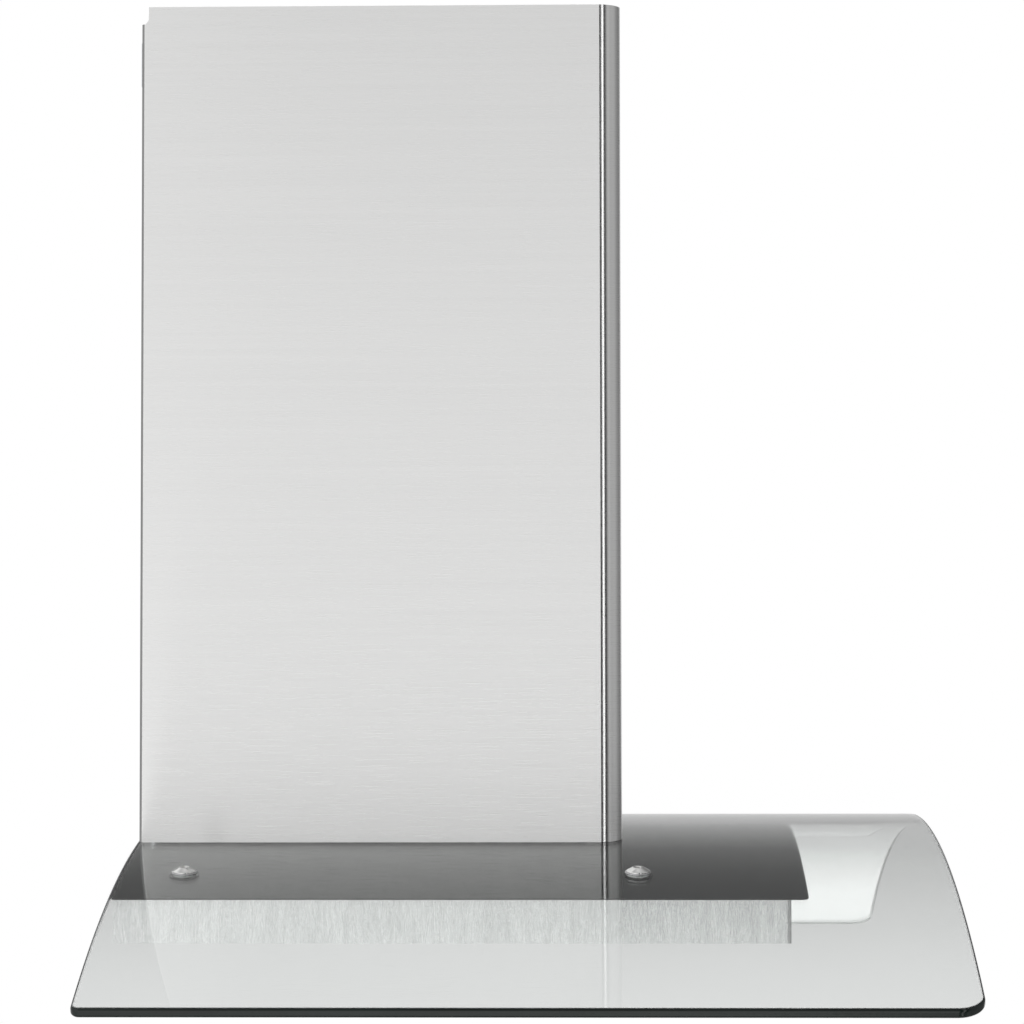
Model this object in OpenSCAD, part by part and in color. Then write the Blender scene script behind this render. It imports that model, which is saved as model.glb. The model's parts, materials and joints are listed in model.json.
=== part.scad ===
// Wall-mounted chimney range hood with an arched glass canopy.
// X runs along the wall, -Y points into the room and +Z is up. The origin is the centre of the
// four wall holes, on the wall plane. Heights of the parts are counted from the ridge, which is
// the highest line of the glass.

/* [Glass canopy] */
// Width of the glass along the wall
glass_w = 906; // [880:2:920]
// Depth of the glass, from its rear edge to its front edge
glass_d = 500; // [480:5:520]
// Thickness of the glass
glass_t = 6; // [5:0.5:8]
// Radius of the arch, on the top surface of the glass
arch_r = 1170; // [1120:10:1250]
// Radius of the two front corners
glass_front_r = 16; // [8:1:30]
// Radius of the two rear corners
glass_rear_r = 5; // [2:1:10]

/* [Canopy plate] */
// Width of the dark plate under the glass
plate_w = 583; // [556:1:600]
// Depth of the dark plate
plate_d = 412; // [406:1:430]

/* [Body] */
// Width of the steel body
body_w = 548; // [544:1:552]
// Depth of the steel body
body_d = 402.5; // [400:0.5:405]
// Distance from the ridge down to the underside of the body
body_drop = 70.5; // [66:0.5:72]

/* [Chimney] */
// Width of the lower chimney
chimney_w = 336; // [334:1:340]
// Depth of the lower chimney, from its rear flange to its front face
chimney_d = 301; // [298:0.1:303]
// Height of the lower chimney's top above the ridge
chimney_h = 513; // [500:1:560]
// Outer radius of the chimney's front corners
chimney_r = 13; // [8:0.5:16]
// Height of the upper chimney
upper_h = 438; // [430:1:450]

/* [Wall plate] */
// Distance between the wall holes along the wall
hole_span_x = 240; // [200:10:240]
// Distance between the wall holes in height
hole_span_z = 250; // [240:10:250]
// Diameter of the wall holes
hole_d = 8; // [6:0.5:9]

/* [Blower] */
// Outer radius of the blower wheel
wheel_r = 60; // [56:1:62]
// Number of blades on the wheel
blade_count = 30; // [20:1:40]
// Diameter of the duct collar
collar_d = 150; // [148:1:150]
// Diameter of the motor shaft
shaft_d = 8; // [6:1:10]

/* [Filters and lamps] */
// Width of one grease filter
filter_w = 253; // [250:0.5:254]
// Depth of one grease filter
filter_d = 289; // [285:0.5:290]
// Distance of each lamp from the middle
lamp_x = 190; // [150:5:210]
// Radius of the lamp's lens
lamp_r = 28.9; // [24:0.1:29]

/* [Buttons] */
// Radius of a push button
button_r = 6.6; // [5:0.1:6.8]
// Distance between two buttons
button_pitch = 26; // [22:1:28]

/* [Hidden] */
$fn = 64;
// Facets of the large circles of the arch
arch_fn = 720;
// Overshoot of a cut past the face that it opens
over = 1;
// Thickness of the sheet metal
sheet_t = 1;
// Gap between the wall and the hood's rear edges
wall_gap = 1;
rear_y = -wall_gap;
// The origin lies this far above the ridge, midway between the wall holes
ridge_z = -165;
// The lower wall holes' height above the ridge
lower_hole_z = -ridge_z - hole_span_z / 2;

// Arch: a 1 mm gap for the pads, then the plate, then the body's top edge
plate_top_r = arch_r - glass_t - 1;
plate_under_r = plate_top_r - sheet_t;
body_top_r = plate_under_r - 0.1;
window_w = 276;
window_rear_y = -18;
window_front_y = -292;
window_r = 8;

// Glass fixings
fixing_x = 248.5;
fixing_ys = [rear_y - 39.5, rear_y - 312];
fixing_angle = asin(fixing_x / arch_r);
cap_r = 7;
cap_h = 3.5;
cap_top_r = 3.7;
washer_r = 8;

// Body
body_bottom_z = -body_drop;
body_front_y = rear_y - body_d;
body_inner_w = body_w - 2 * sheet_t;
tray_z = body_bottom_z + sheet_t;
member_z = -54;
member_h = 12;

// Chimney
chimney_rear_y = rear_y - 1.9;
chimney_flange = 18;
bend_r = 2;
bend_clearance = 0.3;
telescope_gap = 1;
upper_inset = sheet_t + telescope_gap;
upper_w = chimney_w - 2 * upper_inset;
upper_d = chimney_d - 2 * upper_inset;
upper_rear_y = chimney_rear_y - upper_inset;
upper_bottom_z = 62;
upper_top_z = upper_bottom_z + upper_h;
relief_depth = 4.3;
relief_height = 11;
relief_r = 3;
vent_count = 8;
vent_w = 3.5;
vent_h = 50;

// Wall plate and rails
wall_plate_w = 280;
wall_plate_t = 2;
wall_plate_bottom_z = 14;
wall_plate_top_z = 316;
rail_x = 88;
rail_w = 20;
bracket_z = upper_top_z - 34;
bracket_h = 28;
bracket_hole_span = 200;

// Blower box
box_w = 256;
box_rear_y = -24;
box_front_y = -280;
box_top_z = 251;
box_side_bottom_z = -16;
box_wall_bottom_z = member_z + member_h;

// Blower scroll and wheel
blower_y = -118;
blower_z = 105;
scroll_r_min = wheel_r + 10;
scroll_r_max = 105;
scroll_t = 2;
scroll_half_w = 60;
scroll_flange = 5;
scroll_top_z = box_top_z - sheet_t;
scroll_steps = 30;
scroll_screw_angles = [110, 170, 230, 290, 345];
tongue_angle = 65;
outlet_depth = 84;
outlet_rear_y = blower_y - scroll_r_max + outlet_depth;
inlet_r = 54;
bracket_x = -scroll_half_w - scroll_t - 6.5;
wheel_half_w = 50;
shaft_r = shaft_d / 2;
running_gap = 0.05;

// Duct collar and damper
collar_y = outlet_rear_y - outlet_depth / 2;
collar_r = collar_d / 2;
collar_t = 2;
collar_h = 60;
flap_z = box_top_z + 34;
flap_r = collar_r - 5;
flap_t = 1.2;
pivot_offset = 5;
pivot_r = 2;
pivot_half = sqrt(collar_r * collar_r - pivot_offset * pivot_offset) - 0.4;

// Electrics
control_x = box_w / 2;
control_y = -180;
control_z = 140;
control_size = [28, 110, 90];
gland_pos = [control_x + 14, control_y + 80, control_z + control_size[2]];
gland_bore_r = 4;
capacitor_r = 14;

// Filters
filter_x = 134;
filter_rear_y = -32;
filter_front_y = filter_rear_y - filter_d;
filter_t = 9;
filter_border = 14;
filter_gap = 1.5;
filter_rear_gap = 2.5;
filter_pin_r = 1.2;
filter_pin_y = filter_rear_y - 1;
filter_pin_z = tray_z + 1.5;
pin_inner_x = 0.8;
pin_outer_x = filter_x + filter_w / 2 + 7;
pivot_block_w = 5.2;
mesh_t = 0.6;
latch_w = 40;
latch_land = [64, 30];
latch_reach = 1;
latch_z = body_bottom_z + 3;

// Lamps
lamp_y = -364.5;
lamp_ring_r = lamp_r + 5;
lamp_sleeve_r = lamp_r + 1.1;

// Buttons
button_count = 5;
button_z = -38;
bezel_t = 1.5;
bezel_size = [150, 24];
button_gap = 0.6;
switch_y = -388;

// ---- Shared shapes ----

// Moves children from the ridge's height to the origin's
module at_ridge() {
    translate([0, 0, ridge_z]) children();
}

// Rectangle centred on X, from y = 0 to y = -d, with front and rear corner radii
module plan(w, d, front_r, rear_r) {
    translate([-w / 2, front_r - d]) square([w, d - front_r - rear_r]);
    translate([front_r - w / 2, -d]) square([w - 2 * front_r, d - rear_r]);
    for (s = [-1, 1]) translate([s * (w / 2 - front_r), front_r - d]) circle(front_r);
    if (rear_r > 0) {
        translate([rear_r - w / 2, front_r - d]) square([w - 2 * rear_r, d - front_r]);
        for (s = [-1, 1]) translate([s * (w / 2 - rear_r), -rear_r]) circle(rear_r);
    }
}

// Solid under the arch of radius r, along the whole depth of the hood
module arch(r) {
    translate([0, glass_d / 10, -arch_r]) rotate([90, 0, 0])
        cylinder(r = r, h = 1.3 * glass_d, $fn = arch_fn);
}

// Arched sheet between two radii, cut to the plan of its children
module arched_sheet(r_out, r_in) {
    intersection() {
        difference() {
            arch(r_out);
            arch(r_in);
        }
        translate([0, 0, -200]) linear_extrude(220) children();
    }
}

// Extrudes a profile of (y, z) points from x0 to x1
module across(x0, x1) {
    translate([x0, 0, 0]) rotate([90, 0, 90]) linear_extrude(x1 - x0) children();
}

// Cylinder along X between x0 and x1, through the point (y, z)
module bar_x(r, x0, x1, y, z) {
    translate([x0, y, z]) rotate([0, 90, 0]) cylinder(r = r, h = x1 - x0);
}

// Cylinder along Y between y0 and y1, where y0 is the larger
module bar_y(r, y0, y1, x, z) {
    translate([x, y0, z]) rotate([90, 0, 0]) cylinder(r = r, h = y0 - y1);
}

// Box from one corner to the opposite one
module span_box(low, high) {
    translate(low) cube(high - low);
}

// Puts children on the arch at each glass fixing, with z = 0 on the glass and z along its normal
module on_fixings() {
    for (s = [-1, 1], y = fixing_ys)
        translate([0, y, -arch_r]) rotate([0, s * fixing_angle, 0]) translate([0, 0, arch_r])
            children();
}

// Children on the left (side = -1) or the right (side = 1), drawn for the right
module on_side(side) {
    mirror([side < 0 ? 1 : 0, 0, 0]) children();
}

// ---- Wall plate, rails and frame ----

module mounting_plate() {
    color("silver") at_ridge() difference() {
        span_box([-wall_plate_w / 2, -wall_plate_t, wall_plate_bottom_z],
                 [wall_plate_w / 2, 0, wall_plate_top_z]);
        for (sx = [-1, 1], z = [lower_hole_z, lower_hole_z + hole_span_z])
            bar_y(hole_d / 2, over, -wall_plate_t - over, sx * hole_span_x / 2, z);
    }
}

// Two C-channels that carry the blower box on the wall plate
module stand_off_rails() {
    low_z = wall_plate_bottom_z + 6;
    high_z = box_top_z - 6;
    color("silver") at_ridge() for (s = [-1, 1]) translate([s * rail_x, 0, 0]) difference() {
        span_box([-rail_w / 2, box_rear_y, low_z], [rail_w / 2, -wall_plate_t, high_z]);
        span_box([-rail_w / 2 + 1.5, box_rear_y + 1.5, low_z - over],
                 [rail_w / 2 - 1.5, -wall_plate_t + over, high_z + over]);
    }
}

module blower_box() {
    half = box_w / 2;
    color("lightgray") at_ridge() difference() {
        union() {
            span_box([-half, box_rear_y - sheet_t, box_wall_bottom_z], [half, box_rear_y, box_top_z]);
            for (s = [-1, 1]) on_side(s) {
                span_box([half - sheet_t, box_front_y + sheet_t, box_side_bottom_z],
                         [half, box_rear_y, box_top_z]);
                span_box([half - 12, box_front_y + sheet_t, box_side_bottom_z],
                         [half, box_front_y + 2 * sheet_t, box_top_z]);
            }
            span_box([-half, box_front_y + sheet_t, box_top_z - sheet_t],
                     [half, box_rear_y, box_top_z]);
        }
        translate([0, collar_y, box_top_z - 2 * sheet_t]) cylinder(r = collar_r - collar_t, h = 4);
    }
}

// Removable front panel of the blower box, which reaches down to the front cross member
module blower_box_front() {
    half = box_w / 2;
    color("lightgray") at_ridge()
        span_box([-half, box_front_y, box_wall_bottom_z], [half, box_front_y + sheet_t, box_top_z]);
}

// C-channel across the body, its open side facing down, with its rear face at y
module cross_member(y, depth) {
    half = body_inner_w / 2;
    at_ridge() difference() {
        span_box([-half, y - depth, member_z], [half, y, member_z + member_h]);
        span_box([-half - over, y - depth + sheet_t, member_z - over],
                 [half + over, y - sheet_t, member_z + member_h - sheet_t]);
    }
}

module cross_member_rear() {
    color("silver") cross_member(box_rear_y + 14, 14);
}

module cross_member_front() {
    color("silver") cross_member(box_front_y, 11);
}

// ---- Body ----

module body_shell() {
    color("gainsboro") at_ridge() intersection() {
        difference() {
            translate([0, rear_y, body_bottom_z]) linear_extrude(body_drop) difference() {
                plan(body_w, body_d, 3, 0);
                translate([0, over]) plan(body_inner_w, body_d - sheet_t + over, 2, 0);
            }
            for (i = [0:button_count - 1])
                bar_y(button_r + button_gap, body_front_y + 5, body_front_y - 5,
                      button_x(i), button_z);
        }
        arch(body_top_r);
    }
}

module body_back() {
    half = body_inner_w / 2;
    color("gainsboro") at_ridge() intersection() {
        span_box([-half, rear_y - sheet_t, body_bottom_z], [half, rear_y, 0]);
        arch(body_top_r);
    }
}

// Tray that closes the body from below, with two filter openings and two lamp holes
module bottom_panel() {
    tray_d = body_d - 2 * sheet_t;
    tray_h = 9;
    color("gainsboro") at_ridge() difference() {
        translate([0, rear_y - sheet_t, body_bottom_z]) difference() {
            linear_extrude(tray_h) plan(body_inner_w, tray_d, 2, 0);
            translate([0, -sheet_t, sheet_t]) linear_extrude(tray_h)
                plan(body_inner_w - 2 * sheet_t, tray_d - 2 * sheet_t, 1, 0);
        }
        for (s = [-1, 1]) {
            translate([s * filter_x, 0, 0])
                span_box([-filter_w / 2 - filter_gap, filter_front_y - filter_gap,
                          body_bottom_z - over],
                         [filter_w / 2 + filter_gap, filter_rear_y + filter_rear_gap,
                          tray_z + over]);
            translate([s * lamp_x, lamp_y, body_bottom_z - over])
                cylinder(r = lamp_sleeve_r + 0.1, h = 4);
        }
    }
}

// Blocks on the tray that hold the filters' pivot pins: one in the middle and one on each side
module filter_pivots() {
    block_h = 4;
    color("silver") at_ridge() difference() {
        for (x = [[-pivot_block_w, pivot_block_w],
                  [pin_outer_x - 5, pin_outer_x + 0.5], [-pin_outer_x - 0.5, 5 - pin_outer_x]])
            span_box([x[0], filter_pin_y - 3.5, tray_z], [x[1], filter_pin_y + 3.5, tray_z + block_h]);
        bar_x(filter_pin_r + running_gap, -pin_outer_x - 2, pin_outer_x + 2,
              filter_pin_y, filter_pin_z);
    }
}

// Hat rail that stiffens the strip between the two filters
module filter_rail() {
    half = filter_x - filter_w / 2 - filter_gap - 0.5;
    rail_rear_y = filter_pin_y - 4;
    rail_h = 8;
    color("silver") at_ridge() difference() {
        span_box([-half, filter_front_y - 4, tray_z], [half, rail_rear_y, tray_z + rail_h]);
        span_box([sheet_t - half, filter_front_y - 5, tray_z - over],
                 [half - sheet_t, rail_rear_y + over, tray_z + rail_h - sheet_t]);
    }
}

// Pan-head screws that hold the bottom panel
module body_screws() {
    color("silver") at_ridge()
        for (x = [-240, -80, 80, 240], y = [rear_y - 15, body_front_y + 10])
            translate([x, y, body_bottom_z - 1.6]) {
                difference() {
                    cylinder(r = 3.2, h = 1.6);
                    for (a = [0, 90]) rotate(a) translate([-2, -0.35, -over]) cube([4, 0.7, 1.8]);
                }
            }
}

// ---- Glass, plate and fixings ----

module canopy_plate() {
    color([0.12, 0.12, 0.13]) at_ridge() difference() {
        arched_sheet(plate_top_r, plate_under_r)
            translate([0, rear_y]) plan(plate_w, plate_d, 4, 4);
        span_box([-box_w / 2 - 2, box_front_y - 2, -60], [box_w / 2 + 2, box_rear_y + 2, 20]);
        on_fixings() translate([0, 0, -30]) cylinder(r = 3.5, h = 40);
    }
}

module glass_canopy() {
    color([0.75, 0.85, 0.8, 0.4]) at_ridge() difference() {
        arched_sheet(arch_r, arch_r - glass_t)
            translate([0, rear_y]) plan(glass_w, glass_d, glass_front_r, glass_rear_r);
        translate([0, window_rear_y, -60]) linear_extrude(80)
            plan(window_w, window_rear_y - window_front_y, window_r, window_r);
        on_fixings() translate([0, 0, -30]) cylinder(r = 5, h = 40);
    }
}

// Rubber pads between the plate and the glass
module glass_pads() {
    color("black") at_ridge() on_fixings() translate([0, 0, -glass_t - 0.98]) difference() {
        cylinder(r = 9, h = 0.96);
        translate([0, 0, -over]) cylinder(r = 3.2, h = 3);
    }
}

module glass_washers() {
    color("silver") at_ridge() on_fixings() difference() {
        cylinder(r = washer_r, h = 0.6);
        translate([0, 0, -over]) cylinder(r = 3.2, h = 3);
    }
}

// Threaded studs with their nuts under the plate
module glass_screws() {
    color("silver") at_ridge() on_fixings() {
        translate([0, 0, -18]) cylinder(r = 3, h = 19.5);
        translate([0, 0, -glass_t - 2 - 4.5]) cylinder(r = 5.5, h = 4, $fn = 6);
    }
}

// Polished caps with a shallow dimple on top
module screw_caps() {
    color("white") at_ridge() on_fixings() rotate_extrude() polygon([
        [0, 1.6], [4, 1.6], [4, 0.7], [cap_r, 0.7], [cap_r, 1.3], [cap_top_r, cap_h - 0.2],
        [cap_top_r - 0.6, cap_h], [1.9, cap_h], [1.4, cap_h - 0.7], [0, cap_h - 0.7]
    ]);
}

// ---- Chimney ----

// Section of a chimney: three sides, and two return flanges along the wall
module chimney_section(w, d, r) {
    difference() {
        plan(w, d, r, bend_r);
        translate([0, -sheet_t])
            plan(w - 2 * sheet_t, d - 2 * sheet_t, r - sheet_t, bend_r - sheet_t);
        translate([chimney_flange - w / 2, -2 * sheet_t])
            square([w - 2 * chimney_flange, 4 * sheet_t]);
    }
}

// Profile of the relief at the top of the rear bends, from its inner corner
module relief() {
    translate([relief_r - relief_depth, -relief_height]) square([20, 30]);
    translate([-relief_depth, relief_r - relief_height]) square([20, 30]);
    translate([relief_r - relief_depth, relief_r - relief_height]) circle(relief_r);
}

module lower_chimney() {
    skirt = 30;
    color("gainsboro") at_ridge() difference() {
        translate([0, chimney_rear_y, -skirt]) linear_extrude(chimney_h + skirt)
            chimney_section(chimney_w, chimney_d, chimney_r);
        arch(arch_r + 0.2);
        translate([0, chimney_rear_y, chimney_h])
            across(-chimney_w / 2 - over, chimney_w / 2 + over) relief();
    }
}

// Angles that tie the lower chimney to the blower box, just above the glass
module chimney_tabs() {
    inner = chimney_w / 2 - sheet_t;
    tab_y = -150;
    color("silver") at_ridge() for (s = [-1, 1]) on_side(s) {
        span_box([inner - 1.5, tab_y - 20, 6], [inner, tab_y + 20, 40]);
        span_box([box_w / 2, tab_y - 20, 6], [inner, tab_y + 20, 7.5]);
        span_box([box_w / 2, tab_y - 20, 6], [box_w / 2 + 1.5, tab_y + 20, 30]);
    }
}

module upper_chimney() {
    vent_pitch = 14;
    color("gainsboro") at_ridge() difference() {
        translate([0, upper_rear_y, upper_bottom_z]) linear_extrude(upper_h)
            chimney_section(upper_w, upper_d, chimney_r - upper_inset);
        for (i = [0:vent_count - 1])
            translate([0, upper_rear_y - 100 - vent_pitch * i, upper_top_z - 50 - vent_h])
                translate([-upper_w, -vent_w / 2, 0]) cube([2 * upper_w, vent_w, vent_h]);
    }
}

// Bracket that fixes the top of the upper chimney to the wall
module chimney_bracket() {
    half = upper_w / 2 - chimney_flange - 2;
    tab_half = upper_w / 2 - sheet_t - bend_clearance;
    tab_y = upper_rear_y - sheet_t - bend_clearance;
    t = 1.5;
    color("silver") at_ridge() difference() {
        union() {
            span_box([-half, -t, bracket_z], [half, 0, bracket_z + bracket_h]);
            for (s = [-1, 1]) on_side(s) {
                span_box([half - t, tab_y - t, bracket_z], [half, 0, bracket_z + bracket_h]);
                span_box([half - t, tab_y - t, bracket_z],
                         [tab_half, tab_y, bracket_z + bracket_h]);
                span_box([tab_half - t, tab_y - 60, bracket_z],
                         [tab_half, tab_y, bracket_z + bracket_h]);
            }
        }
        for (s = [-1, 1])
            bar_y(3, over, -t - over, s * bracket_hole_span / 2, bracket_z + bracket_h / 2);
    }
}

module bracket_screws() {
    tab_y = upper_rear_y - sheet_t - bend_clearance - 1.5;
    color("gray") at_ridge() for (s = [-1, 1], z = [8, bracket_h - 8])
        bar_y(3.2, tab_y, tab_y - 2, s * (upper_w / 2 - 9), bracket_z + z);
}

// ---- Blower ----

// Scroll radius at an angle about the shaft: it grows evenly from the tongue to the front
function scroll_radius(angle) =
    scroll_r_min + (scroll_r_max - scroll_r_min) * (angle - tongue_angle) / (360 - tongue_angle);

// Outline of the scroll in (y, z), grown outwards, with its outlet straight up to top_z
function scroll_outline(grow, top_z) =
    let (first = tongue_angle + 3 * grow, turn = 360 - first)
    concat(
        [for (i = [0:scroll_steps])
            let (angle = first + turn * i / scroll_steps, r = scroll_radius(angle) + grow)
            [blower_y - r * cos(angle), blower_z + r * sin(angle)]],
        [[blower_y - scroll_r_max - grow, top_z], [outlet_rear_y + grow, top_z]]
    );

// Places of the scroll's joining screws, just outside its wall
function scroll_screw(angle) =
    let (r = scroll_radius(angle) + scroll_t + 1.2)
    [blower_y - r * cos(angle), blower_z + r * sin(angle)];

module scroll_half() {
    difference() {
        union() {
            across(0, scroll_half_w + scroll_t) polygon(scroll_outline(scroll_t, scroll_top_z));
            across(0, 3) polygon(scroll_outline(scroll_flange, scroll_top_z));
        }
        across(-over, scroll_half_w) polygon(scroll_outline(0, scroll_top_z + over));
        bar_x(inlet_r, 0, scroll_half_w + 10, blower_y, blower_z);
    }
}

module scroll_left() {
    color("dimgray") at_ridge() on_side(-1) scroll_half();
}

module scroll_right() {
    color("dimgray") at_ridge() scroll_half();
}

// Screws of the scroll's flange and of the collar's flange
module blower_screws() {
    color("silver") at_ridge() {
        for (angle = scroll_screw_angles) {
            p = scroll_screw(angle);
            bar_x(2.2, 3, 5, p[0] - 1.6 * cos(angle), p[1] + 1.6 * sin(angle));
        }
        for (sx = [-1, 1], sy = [-1, 1])
            translate([sx * 62, collar_y + sy * 62, box_top_z + 2]) cylinder(r = 3, h = 2);
    }
}

// Rounded lip round an air inlet of the scroll
module inlet_ring() {
    face = scroll_half_w + scroll_t;
    translate([face, blower_y, blower_z]) rotate([0, 90, 0]) rotate_extrude()
        polygon([
            [inlet_r, 0], [inlet_r + 16, 0], [inlet_r + 16, 2], [inlet_r + 6, 2],
            [inlet_r + 4, 3], [inlet_r + 3, 6], [inlet_r + 1, 6], [inlet_r, 2]
        ]);
}

module inlet_ring_left() {
    color("dimgray") at_ridge() on_side(-1) inlet_ring();
}

module inlet_ring_right() {
    color("dimgray") at_ridge() inlet_ring();
}

// Motor inside the left half of the wheel, on the motor bracket
module motor() {
    color("gray") at_ridge() difference() {
        union() {
            bar_x(34, -56, -48, blower_y, blower_z);
            bar_x(38, -48, -14, blower_y, blower_z);
            bar_x(34, -14, -6, blower_y, blower_z);
            bar_x(18, bracket_x, -56, blower_y, blower_z);
        }
        bar_x(shaft_r + running_gap, bracket_x - over, 0, blower_y, blower_z);
        for (i = [0:11]) translate([0, blower_y, blower_z]) rotate([i * 30, 0, 0])
            translate([-46, 34.5, -2]) cube([30, 5, 4]);
    }
}

// Three-armed bracket across the left inlet, on legs that stand outside the inlet's lip
module motor_bracket() {
    arm_r = inlet_r + 15;
    ring_x = -scroll_half_w - scroll_t - 2;
    outer_x = bracket_x - 2;
    color("silver") at_ridge() difference() {
        union() {
            bar_x(22, outer_x, bracket_x, blower_y, blower_z);
            for (i = [0:2]) translate([outer_x, blower_y, blower_z]) rotate([120 * i + 90, 0, 0]) {
                translate([0, 0, -7]) cube([2, arm_r, 14]);
                translate([0, arm_r - 8, -7]) cube([ring_x - outer_x, 8, 14]);
            }
        }
        bar_x(10, outer_x - over, bracket_x + over, blower_y, blower_z);
    }
}

module motor_shaft() {
    color("silver") at_ridge() bar_x(shaft_r, -62, 24, blower_y, blower_z);
}

// Double-sided wheel: blades between two end rings, carried by a disc and a hub
module impeller() {
    blade_chord = 12;
    color("darkgray") at_ridge() translate([0, blower_y, blower_z]) rotate([0, 90, 0]) difference() {
        union() {
            translate([0, 0, -1]) cylinder(r = wheel_r, h = 2);
            translate([0, 0, 1]) cylinder(r = 11, h = 22);
            for (s = [-1, 1]) translate([0, 0, s * (wheel_half_w - 1.5)]) difference() {
                cylinder(r = wheel_r, h = 3, center = true);
                cylinder(r = wheel_r - 11, h = 4, center = true);
            }
            for (i = [0:blade_count - 1]) rotate(i * 360 / blade_count)
                translate([wheel_r - 5.5, 0, 0]) rotate(35)
                    cube([blade_chord - 3, 1, 2 * wheel_half_w - 2], center = true);
        }
        translate([0, 0, -5]) cylinder(r = shaft_r, h = 40);
    }
}

// Round duct collar on a square flange, with a ledge for the flaps and bores for their pivots
module outlet_collar() {
    color("dimgray") at_ridge() difference() {
        translate([0, collar_y, 0]) {
            difference() {
                union() {
                    span_box([-80, -80, box_top_z], [80, 80, box_top_z + 2]);
                    translate([0, 0, box_top_z]) cylinder(r = collar_r, h = collar_h);
                }
                translate([0, 0, box_top_z - over])
                    cylinder(r = collar_r - collar_t, h = collar_h + 2 * over);
            }
            difference() {
                translate([0, 0, flap_z - 3]) cylinder(r = collar_r - 1, h = 2);
                translate([0, 0, flap_z - 4]) cylinder(r = flap_r - 1, h = 4);
            }
        }
        for (s = [-1, 1])
            bar_x(pivot_r + running_gap, -collar_r - 5, collar_r + 5,
                  collar_y + s * pivot_offset, flap_z);
    }
}

// Half-disc flap with its pivot rod: side is -1 at the front and 1 at the rear
module damper_flap(side) {
    translate([0, collar_y, flap_z]) mirror([0, side > 0 ? 1 : 0, 0]) {
        intersection() {
            translate([0, 0, -flap_t / 2]) cylinder(r = flap_r, h = flap_t);
            translate([-flap_r, -flap_r - over, -5]) cube([2 * flap_r, flap_r + over - pivot_offset, 10]);
        }
        translate([6 - flap_r, -pivot_offset - over, -flap_t / 2])
            cube([2 * flap_r - 12, pivot_offset, flap_t]);
        bar_x(pivot_r, -pivot_half, pivot_half, -pivot_offset, 0);
    }
}

module damper_flap_front() {
    color("gray") at_ridge() damper_flap(-1);
}

module damper_flap_rear() {
    color("gray") at_ridge() damper_flap(1);
}

// ---- Electrics ----

// Motor capacitor in its saddle, on the left side of the blower box
module capacitor() {
    x = -box_w / 2 - capacitor_r - 2;
    color("white") at_ridge() {
        translate([x, -120, 150]) cylinder(r = capacitor_r, h = 56);
        translate([x, -120, 206]) cylinder(r = 5, h = 5);
        span_box([x, -130, 165], [-box_w / 2, -110, 190]);
    }
}

module control_box() {
    low = [control_x, control_y, control_z];
    high = low + control_size;
    color([0.2, 0.2, 0.2]) at_ridge() difference() {
        span_box(low, high);
        span_box(low + [2, 2, 2], high + [over, -2, -2]);
        translate([gland_pos[0], gland_pos[1], gland_pos[2] - 5]) cylinder(r = 8.1, h = 10);
    }
}

module control_box_cover() {
    x = control_x + control_size[0];
    color([0.25, 0.25, 0.25]) at_ridge()
        span_box([x, control_y, control_z],
                 [x + 1.5, control_y + control_size[1], control_z + control_size[2]]);
}

module circuit_board() {
    low = [control_x + 6, control_y + 6, control_z + 6];
    color("darkgreen") at_ridge() {
        span_box([control_x + 2, control_y + 20, control_z + 20],
                 [control_x + 6, control_y + 30, control_z + 30]);
        span_box([control_x + 2, control_y + 70, control_z + 40],
                 [control_x + 6, control_y + 80, control_z + 50]);
        span_box(low, low + [1.6, 98, 66]);
        span_box(low + [1.6, 8, 8], low + [14, 34, 24]);
        span_box(low + [1.6, 50, 10], low + [12, 88, 20]);
        translate(low + [1.6, 24, 44]) rotate([0, 90, 0]) cylinder(r = 7, h = 14);
    }
}

// Gland for the supply cable, in the top of the control box
module cable_gland() {
    color([0.1, 0.1, 0.1]) at_ridge() translate(gland_pos) difference() {
        union() {
            translate([0, 0, -6]) cylinder(r = 8, h = 8);
            translate([0, 0, -6]) cylinder(r = 11, h = 4, $fn = 6);
            cylinder(r = 11, h = 6, $fn = 6);
            translate([0, 0, 6]) cylinder(r = 9, h = 10);
            translate([0, 0, 16]) cylinder(r1 = 9, r2 = 6.5, h = 4);
        }
        translate([0, 0, -10]) cylinder(r = gland_bore_r, h = 40);
    }
}

// ---- Lamps ----

module lamp_housing() {
    top_z = tray_z + 20;
    translate([lamp_x, lamp_y, 0]) difference() {
        union() {
            translate([0, 0, tray_z]) cylinder(r = lamp_sleeve_r + 3, h = 20);
            translate([0, 0, tray_z]) cylinder(r = lamp_sleeve_r + 6, h = 1.5);
        }
        translate([0, 0, tray_z - over]) cylinder(r = lamp_sleeve_r + 0.1, h = 20);
        translate([0, 0, top_z - over]) cylinder(r = 4, h = 5);
    }
}

// Polished bezel ring with the sleeve that clips into the housing
module lamp_ring() {
    lip_z = body_bottom_z - 2;
    translate([lamp_x, lamp_y, 0]) rotate_extrude() polygon([
        [lamp_r - 2, lip_z + 0.6], [lamp_r - 1.2, lip_z], [lamp_ring_r - 1.5, lip_z],
        [lamp_ring_r, lip_z + 1.2], [lamp_ring_r, body_bottom_z],
        [lamp_sleeve_r, body_bottom_z], [lamp_sleeve_r, body_bottom_z + 8],
        [lamp_sleeve_r - 1, body_bottom_z + 8], [lamp_sleeve_r - 1, body_bottom_z],
        [lamp_r - 2, body_bottom_z]
    ]);
}

module lamp_lens() {
    translate([lamp_x, lamp_y, body_bottom_z]) cylinder(r = lamp_r, h = 2.5);
}

module lamp_housing_left() {
    color("dimgray") at_ridge() on_side(-1) lamp_housing();
}

module lamp_housing_right() {
    color("dimgray") at_ridge() lamp_housing();
}

module lamp_ring_left() {
    color("silver") at_ridge() on_side(-1) lamp_ring();
}

module lamp_ring_right() {
    color("silver") at_ridge() lamp_ring();
}

module lamp_lens_left() {
    color("ivory") at_ridge() on_side(-1) lamp_lens();
}

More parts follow.
